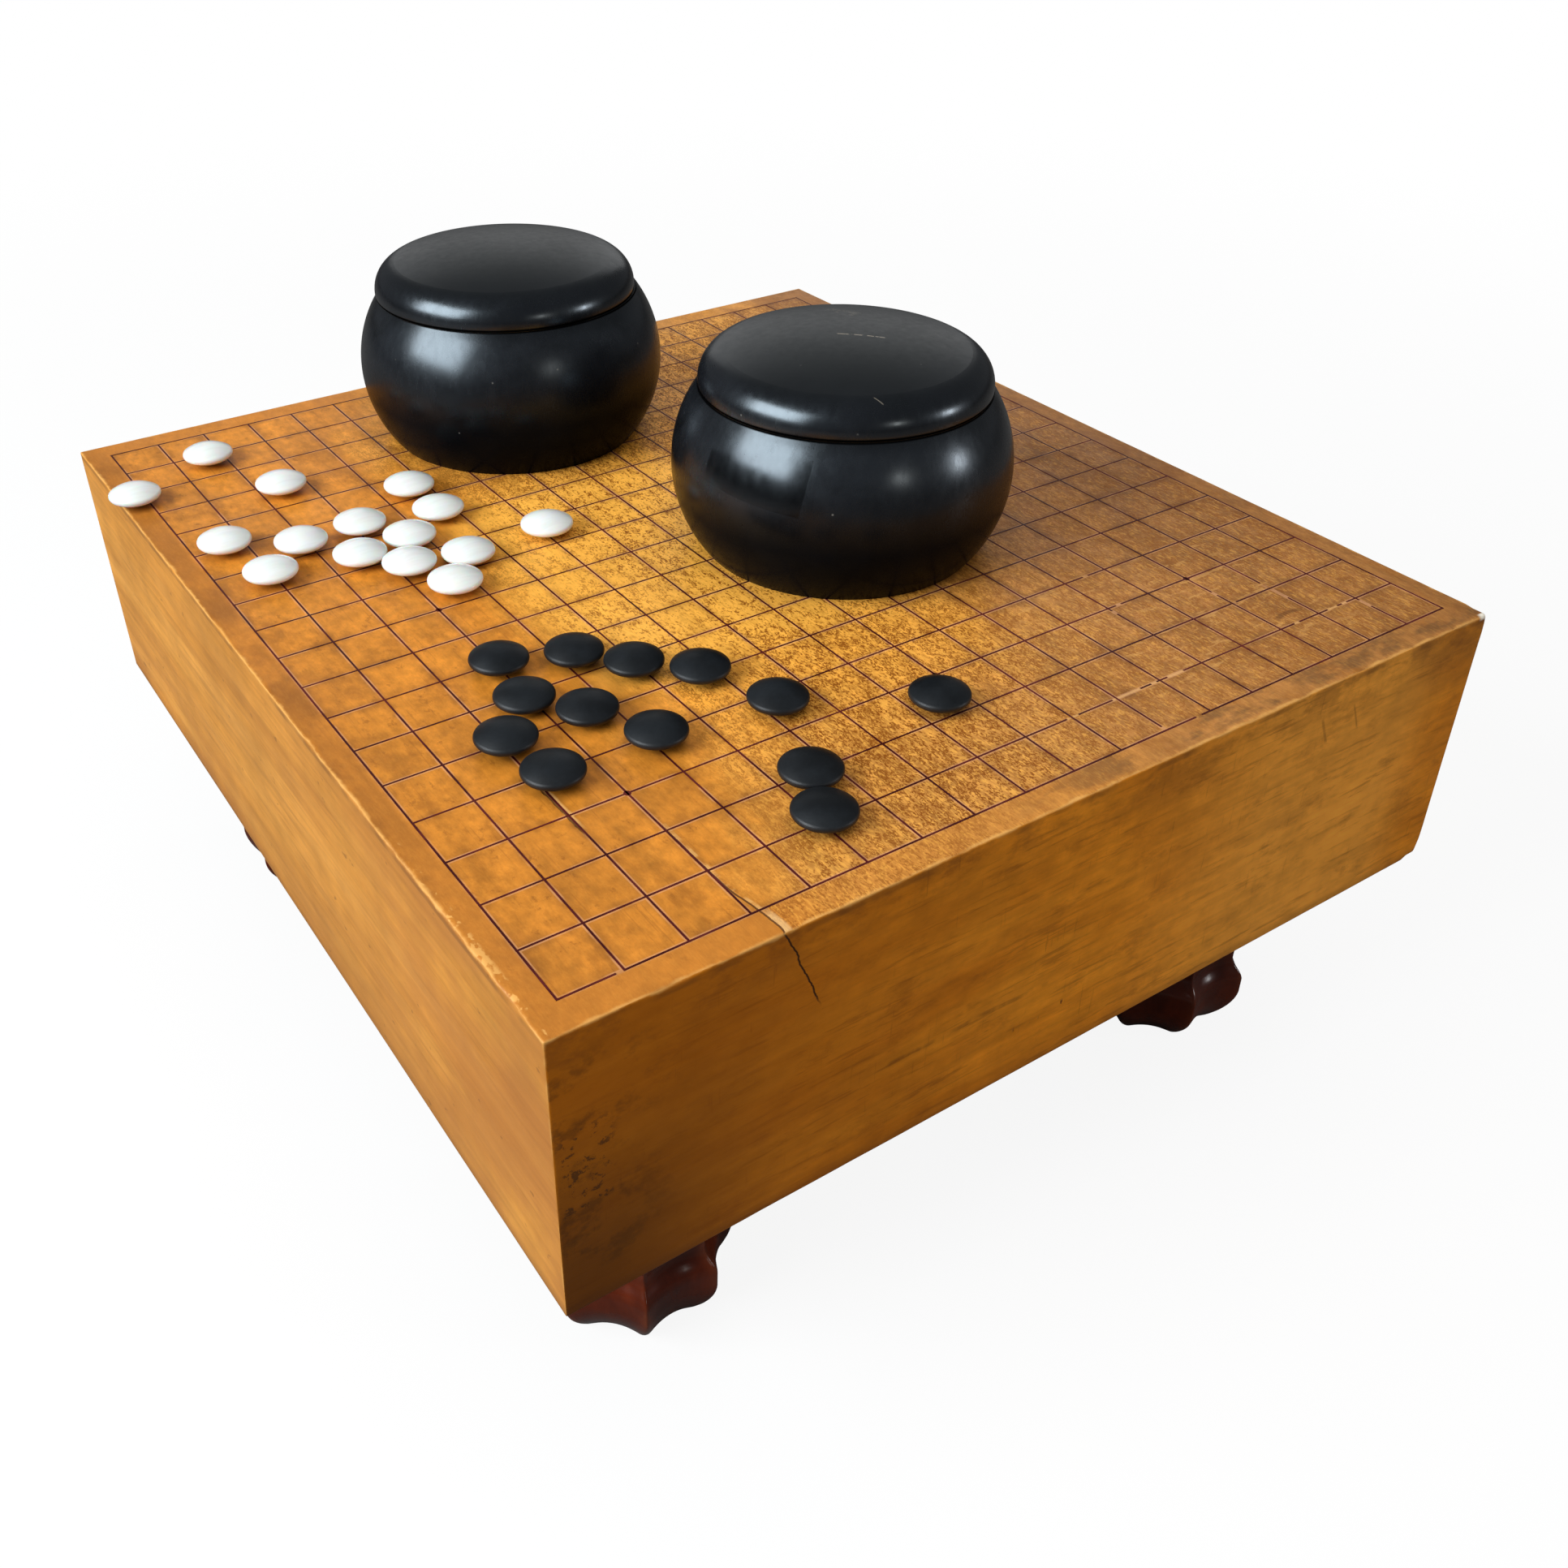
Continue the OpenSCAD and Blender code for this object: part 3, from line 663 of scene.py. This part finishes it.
def fluted_leg(name, x, y):
    """A leg standing at a place, with how near each point is to a ridge kept for its finish."""
    half = math.pi / flute_count
    right = [half * share for share in (0.09, 0.27, 0.44, 0.6, 0.74, 0.85, 0.92, 0.96, 0.985)]
    turns = [-half] + [-turn for turn in right[::-1]] + right
    around = [(2 * half * k + turn, turn) for k in range(flute_count) for turn in turns]
    heights = [0, 0.0006, toe] + list(np.linspace(toe + 0.001, leg_tall, 76))
    points, faces, ridge = [], [], []
    for z in heights:
        radius = ridge_radius(z) - toe_inset * max(0.0, 1 - z / toe)
        for angle, turn in around:
            out = radius * flute_outline(turn, z)
            points.append((x + out * math.cos(angle), y + out * math.sin(angle), z))
            ridge.append(math.exp(-((half - abs(turn)) / 0.05) ** 2))
    n = len(around)
    for i in range(len(heights) - 1):
        for j in range(n):
            k = (j + 1) % n
            faces.append([i * n + j, i * n + k, (i + 1) * n + k, (i + 1) * n + j])
    for z in (0.0, leg_tall):
        points.append((x, y, z))
        ridge.append(0.0)
    last = (len(heights) - 1) * n
    for j in range(n):
        k = (j + 1) % n
        faces.append([len(points) - 2, k, j])
        faces.append([len(points) - 1, last + j, last + k])
    piece = new_piece(name, points, faces, 50)
    piece.data.attributes.new("ridge", "FLOAT", "POINT").data.foreach_set("value", ridge)
    return piece


lacquered = Finish("leg_lacquer", Specular_IOR_Level=0.30)
pores = lacquered.noise((230, 230, 22), 4, 0.6)
clouds = lacquered.noise((28, 28, 18), 4, 0.6)
colour = lacquered.mix(lacquered.fade(clouds, 0.32, 0.68), tint(62, 20, 7), tint(106, 39, 13))
colour = lacquered.shade(colour, pores, 0.86, 1.10)
ridges = lacquered.lay("ShaderNodeAttribute", output="Fac", attribute_name="ridge")
rub = ridges * lacquered.fade(lacquered.noise((60, 60, 40), 4), 0.4, 0.66)
colour = lacquered.mix(rub * 0.35, colour, tint(138, 72, 42))
grime = lacquered.fade(lacquered.z, 0.010, 0.0)
colour = lacquered.mix(grime * 0.5, colour, tint(40, 16, 12))
leg_lacquer = lacquered.paint(colour, lacquered.range(clouds, 0.15, 0.23), pores, 0.00012, 0.3)

for corner in ("front_left", "front_right", "rear_left", "rear_right"):
    low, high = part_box("leg_" + corner)
    leg = fluted_leg("carved_leg_" + corner, (low.x + high.x) / 2, (low.y + high.y) / 2)
    leg.data.materials.append(leg_lacquer)
    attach(leg, "board")
    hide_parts("leg_" + corner)

# The bowls: turned wood under black lacquer, satin and finely scuffed, with specks of dust in the coat.
# Each stands on a ring, and has a lip inside the seam that its lid drops over.


def bowl_black(name, low, high, dark, light, dusty):
    """The black coat of bowls and lids: between a low and a high roughness, with more or less dust in it."""
    f = Finish(name, Specular_Tint=(0.77, 0.90, 1.0, 1.0))
    scuff = f.noise((300, 300, 90), 4, 0.65)
    clouds = f.noise((22, 22, 16), 4, 0.6)
    colour = f.mix(f.fade(clouds, 0.30, 0.70), dark, light)
    dots = f.node("ShaderNodeTexVoronoi", {"Vector": f.spot, "Scale": 150.0, "Randomness": 1.0})
    pick = f.lay("ShaderNodeSeparateColor", {0: Varying(f, dots.outputs["Color"])})
    speck = f.fade(Varying(f, dots.outputs["Distance"]), 0.085, 0.04) * f.fade(pick, 0.90, 0.92)
    colour = f.mix(speck * dusty, colour, tint(150, 148, 142))
    roughness = f.range(scuff, low, high) + (clouds - 0.5) * 0.1
    return f, colour, roughness, scuff


f, colour, roughness, scuff = bowl_black("bowl_lacquer", 0.22, 0.30, tint(8, 9, 11), tint(14, 15, 18), 0.45)
seam_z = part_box("white_bowl_lid")[0].z
# a near-black band without shine just below the seam is painted shade of the gap under the lid
seam = f.fade(f.z, seam_z - 0.001, seam_z - 0.0005) * f.fade(f.z, seam_z - 0.00003, seam_z - 0.0001)
colour = f.mix(seam, colour, tint(3, 3, 3))

# a film of dust round the belly, and on the black stones' bowl a four-sided patch, once covered, that has
# kept its shine
patch_start, patch_span, patch_low, patch_high = -3.11, 0.69, 0.0444, 0.0575
low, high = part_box("black_bowl")
foot_z, middle = low.z, (low + high) / 2
round_way = f.calc("ARCTAN2", f.y - middle.y, f.x - middle.x)
share = (round_way - patch_start) / patch_span
under = f.z - (foot_z + patch_low - share * 0.0046)
over = foot_z + patch_high + share * 0.005 - f.z
kept = (f.fade(under, 0.0, 0.0005) * f.fade(over, 0.0, 0.003) * f.fade(share, 0.0, 0.02)
        * f.fade(share + (foot_z + 0.062 - f.z) * 4.0, 1.035, 1.02))
film = (f.fade(f.z, foot_z + 0.03, foot_z + 0.056) * f.fade(f.z, foot_z + 0.069, foot_z + 0.062)
        * f.fade(f.noise((40, 40, 60), 4, 0.6), 0.26, 0.6))
colour = f.mix(film * 0.48, colour, tint(33, 36, 41))
colour = f.mix(kept * 0.92, colour, tint(4, 4, 5))
roughness = roughness - kept * 0.05
# low down, where fingers never polish it, the coat is dull, and so is the lip that the lid covers
shine = f.fade(f.z, foot_z + 0.024, foot_z + 0.056) * 0.70 + 0.03
open_to_hands = f.fade(f.z, seam_z - 0.00003, seam_z - 0.0001)
f.lead(shine * (1.0 - seam) * (open_to_hands * 0.7 + 0.3), "Specular IOR Level")
roughness = roughness + (1.0 - open_to_hands) * 0.3
height = (scuff - kept * 0.8) * open_to_hands
bowl_lacquer = f.paint(colour, roughness, height, 0.00006, 0.25)
for bowl in ("white_bowl", "black_bowl"):
    dress(bowl, bowl_lacquer)

# The lids: turned from the same wood as a flat dome with a round edge, lacquered like the bowls and
# worn duller and greyer on top, where the hand rests. One has a few pale scratches.
f, colour, roughness, scuff = bowl_black("lid_lacquer", 0.22, 0.30, tint(10, 11, 14), tint(17, 18, 22), 0.5)
worn_top = f.fade(f.z, seam_z + 0.0090, seam_z + 0.0200)
colour = f.mix(worn_top * 0.8, colour, tint(17, 19, 19))
roughness = roughness + worn_top * 0.13
# a near-black band without shine along the lid's low edge is painted shade of the seam
seam = f.fade(f.z, seam_z + 0.0015, seam_z + 0.0008) * f.fade(f.z, seam_z + 0.00003, seam_z + 0.0001)
colour = f.mix(seam, colour, tint(3, 3, 3))
f.lead((0.85 - worn_top * 0.30) * (1.0 - seam), "Specular IOR Level")


def scratched(f, start, end, width):
    """1 on a straight scratch between two points in plan."""
    run = Vector(end) - Vector(start)
    length, way = run.length, run.normalized()
    x, y = f.x - start[0], f.y - start[1]
    along = x * way.x + y * way.y
    off = y * way.x - x * way.y
    return f.stroke(off, width) * f.within(along, 0.0, length, 0.0008)


dashes = (scratched(f, (0.0339, -0.033), (0.0473, -0.0454), 0.0005)
          * f.fade(f.noise((700, 700, 1), 1), 0.4, 0.5))
nick = scratched(f, (0.0162, -0.0794), (0.0173, -0.0826), 0.0003) * 0.5
rub = (scratched(f, (0.0537, -0.002), (0.056, -0.017), 0.005)
       * f.fade(f.noise((600, 260, 1), 3, 0.7), 0.52, 0.62))
colour = f.mix(f.either(dashes, nick, rub * 0.35) * 0.75, colour, tint(150, 140, 124))
lid_lacquer = f.paint(colour, roughness, scuff, 0.00006, 0.25)
for lid in ("white_bowl_lid", "black_bowl_lid"):
    dress(lid, lid_lacquer)

# The stones: white ones ground from shell and polished, black ones from slate and left dull with a little
# oil. Some lie in play on the board and the rest lie in layers in the bowls.
f = Finish("shell_white", Subsurface_Weight=0.55, Subsurface_Scale=0.006,
           Coat_Weight=0.2, Coat_Roughness=0.12)
growth = f.noise((40, 420, 60), 3, 0.5, 0.6)
colour = f.mix(f.fade(growth, 0.36, 0.70), tint(227, 231, 229), tint(222, 225, 222))
shell_white = f.paint(colour, f.range(f.noise((120, 120, 120), 3), 0.16, 0.26))

f = Finish("slate_black", Specular_IOR_Level=0.40)
stone_grain = f.noise((900, 900, 900), 3, 0.6)
colour = f.mix(f.fade(f.noise((60, 60, 60), 4), 0.34, 0.66), tint(12, 15, 18), tint(22, 26, 30))
colour = f.shade(colour, stone_grain, 0.85, 1.12)
slate_black = f.paint(colour, f.range(f.noise((80, 80, 80), 3), 0.42, 0.54), stone_grain, 0.00008, 0.3)

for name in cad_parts:
    if name.startswith(("white_stone", "white_bowl_stones")):
        dress(name, shell_white)
    if name.startswith(("black_stone", "black_bowl_stones")):
        dress(name, slate_black)

# The set: a plain pale floor in a dim room, in the soft light of one large window on the left, of the
# ceiling and of a far wall, with two small lamps far off. The camera stands where the photograph's did.
floor_reach = 30
corners = [(-floor_reach, -floor_reach, 0), (floor_reach, -floor_reach, 0),
           (floor_reach, floor_reach, 0), (-floor_reach, floor_reach, 0)]
floor_mesh = bpy.data.meshes.new("floor")
floor_mesh.from_pydata(corners, [], [[0, 1, 2, 3]])
floor = bpy.data.objects.new("floor", floor_mesh)
bpy.context.scene.collection.objects.link(floor)
pale = Finish("pale_floor", Roughness=0.9, Specular_IOR_Level=0.1)
ray = pale.lay("ShaderNodeLightPath", output="Is Camera Ray")
pale.lead(pale.mix(ray, (0.15, 0.145, 0.14, 1), (0.86, 0.86, 0.86, 1)), "Base Color")
# seen straight on, the floor keeps a little of the object's shadow and turns white with distance
away = pale.calc("SQRT", pale.x * pale.x + pale.y * pale.y)
white_share = pale.fade(away, 0.45, 1.7) * 0.10 + 0.90
glow = pale.lay("ShaderNodeEmission", {"Color": (1, 1, 1, 1), "Strength": 1.0})
lit = Varying(pale, pale.shader.outputs[0])
blend = pale.lay("ShaderNodeMixShader", {0: ray * white_share, 1: lit, 2: glow})
pale.tree.links.new(blend.socket, pale.tree.nodes["Material Output"].inputs["Surface"])
floor_mesh.materials.append(pale.material)


def lamp(name, place, aim, size, power, colour, mirrored=True):
    light = bpy.data.lights.new(name, "AREA")
    light.shape = "RECTANGLE"
    light.size, light.size_y = size
    light.energy = power
    light.color = colour
    stand = bpy.data.objects.new(name, light)
    stand.visible_glossy = mirrored
    stand.location = place
    stand.rotation_euler = (Vector(aim) - Vector(place)).to_track_quat("-Z", "Y").to_euler()
    bpy.context.scene.collection.objects.link(stand)


lamp("window", (-2.0, 0.10, 1.35), (0, 0, 0.24), (1.7, 1.2), 74, (0.92, 0.97, 1.0))
lamp("ceiling", (0.0, -0.5, 2.7), (0, 0, 0.24), (3.0, 3.0), 40, (1.0, 0.98, 0.95), False)
lamp("far_wall", (1.9, 3.0, 1.5), (0, 0, 0.3), (3.2, 1.8), 11, (1.0, 0.99, 0.97))
lamp("far_lamp_right", (2.0, -1.95, 0.78), (0.04, -0.03, 0.27), (0.36, 0.42), 10, (0.98, 0.98, 1.0))
lamp("far_lamp_front", (0.12, -2.4, 0.95), (0, 0, 0.25), (0.16, 0.16), 2, (1.0, 0.94, 0.86))

room = bpy.data.worlds.new("room")
bpy.context.scene.world = room
room.use_nodes = True
nodes, links = room.node_tree.nodes, room.node_tree.links
dim = nodes["Background"]
dim.inputs["Color"].default_value = (0.93, 0.96, 1.0, 1)
dim.inputs["Strength"].default_value = 0.11
white, chosen, path = (nodes.new("ShaderNode" + kind) for kind in ("Background", "MixShader", "LightPath"))
white.inputs["Color"].default_value = (1, 1, 1, 1)
links.new(path.outputs["Is Camera Ray"], chosen.inputs[0])
links.new(dim.outputs[0], chosen.inputs[1])
links.new(white.outputs[0], chosen.inputs[2])
links.new(chosen.outputs[0], nodes["World Output"].inputs["Surface"])

# the camera's values in pixels of the photograph, and its axes, found by fitting the ruled lines
photo_size, focal, centre_u, centre_v = 1932, 1977.84, 857.885, 829.884
right = (0.83734821, -0.54666861, -0.00118608)
down = (-0.2944356, -0.44916539, -0.84353905)
ahead = (0.46060357, 0.70668514, -0.53706654)
camera_data = bpy.data.cameras.new("camera")
camera_data.sensor_width = 36
camera_data.lens = camera_data.sensor_width * focal / photo_size
camera_data.shift_x = (photo_size / 2 - centre_u) / photo_size
camera_data.shift_y = (centre_v - photo_size / 2) / photo_size
camera = bpy.data.objects.new("camera", camera_data)
eye = (-0.34469, -0.51113, top_z + 0.31691)
camera.matrix_world = Matrix([[right[i], -down[i], -ahead[i], eye[i]] for i in range(3)] + [[0, 0, 0, 1]])
bpy.context.scene.collection.objects.link(camera)
bpy.context.scene.camera = camera
bpy.context.scene.view_settings.view_transform = "Standard"
